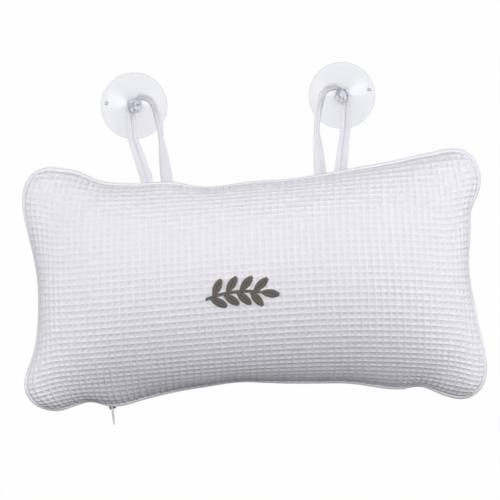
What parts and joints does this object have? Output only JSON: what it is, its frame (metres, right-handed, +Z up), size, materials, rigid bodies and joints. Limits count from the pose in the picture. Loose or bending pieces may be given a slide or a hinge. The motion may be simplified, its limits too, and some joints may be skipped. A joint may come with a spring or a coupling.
{
  "type": "bath pillow",
  "caption": "Cushioned bath pillow with a piped waffle-weave cover, a zip along the bottom edge, and suction cups on tape loops that hold it to the bath.",
  "frame": {"origin": "middle of the flat patch on the back panel that the pillow rests on", "axes": "+X along the pillow's length, +Y towards the suction cups, +Z up from the surface it lies on, through the front panel"},
  "size_m": [0.3314, 0.2549, 0.0891],
  "materials": {
    "waffle_cotton": "matte",
    "white_cotton": "matte",
    "pad_lining": "matte",
    "polyester_fibre": "matte",
    "embroidery_thread": "satin",
    "clear_vinyl": "gloss",
    "zip_tape": "matte",
    "zip_nylon": "satin",
    "grey_metal": "satin"
  },
  "bodies": {
    "pillow": {"front_panel": "waffle_cotton", "back_panel": "waffle_cotton", "piping_cover": "white_cotton", "piping_cord": "polyester_fibre", "inner_pad_front": "pad_lining", "inner_pad_back": "pad_lining", "fibre_fill": "polyester_fibre", "embroidery": "embroidery_thread", "embroidery_backing": "pad_lining", "left_strap_outer_tail": "white_cotton", "left_strap_inner_tail": "white_cotton", "right_strap_outer_tail": "white_cotton", "right_strap_inner_tail": "white_cotton", "zip_tape_upper": "zip_tape", "zip_tape_lower": "zip_tape", "zip_teeth_upper": "zip_nylon", "zip_teeth_lower": "zip_nylon", "zip_top_stop_upper": "grey_metal", "zip_top_stop_lower": "grey_metal", "zip_bottom_stop": "grey_metal"},
    "left_loop": {"left_strap": "white_cotton"},
    "right_loop": {"right_strap": "white_cotton"},
    "left_cup": {"left_suction_cup": "clear_vinyl"},
    "right_cup": {"right_suction_cup": "clear_vinyl"},
    "slider": {"zip_slider": "grey_metal"},
    "pull": {"zip_pull": "grey_metal"}
  },
  "joints": [
    {"name": "left_strap_fold", "type": "hinge", "parent": "pillow", "child": "left_loop", "pos_m": [-0.06622, 0.07648, 0.0357], "axis": [0.9938, -0.1109, 0], "range_deg": [-60, 105]},
    {"name": "right_strap_fold", "type": "hinge", "parent": "pillow", "child": "right_loop", "pos_m": [0.05907, 0.07573, 0.0357], "axis": [0.9951, 0.099, 0], "range_deg": [-60, 105]},
    {"name": "left_cup_swivel", "type": "hinge", "parent": "left_loop", "child": "left_cup", "pos_m": [-0.0806, 0.1306, 0], "axis": [0, 0, 1], "continuous": true},
    {"name": "right_cup_swivel", "type": "hinge", "parent": "right_loop", "child": "right_cup", "pos_m": [0.0695, 0.1324, 0], "axis": [0, 0, 1], "continuous": true},
    {"name": "zip_slider_travel", "type": "hinge", "parent": "pillow", "child": "slider", "pos_m": [0, -0.66978, 0.03115], "axis": [0, 0, -1], "range_deg": [0, 19.7]},
    {"name": "zip_pull_swing", "type": "hinge", "parent": "slider", "child": "pull", "pos_m": [-0.10459, -0.08452, 0.03115], "axis": [0, 0, 1], "range_deg": [-74, 86]}
  ]
}
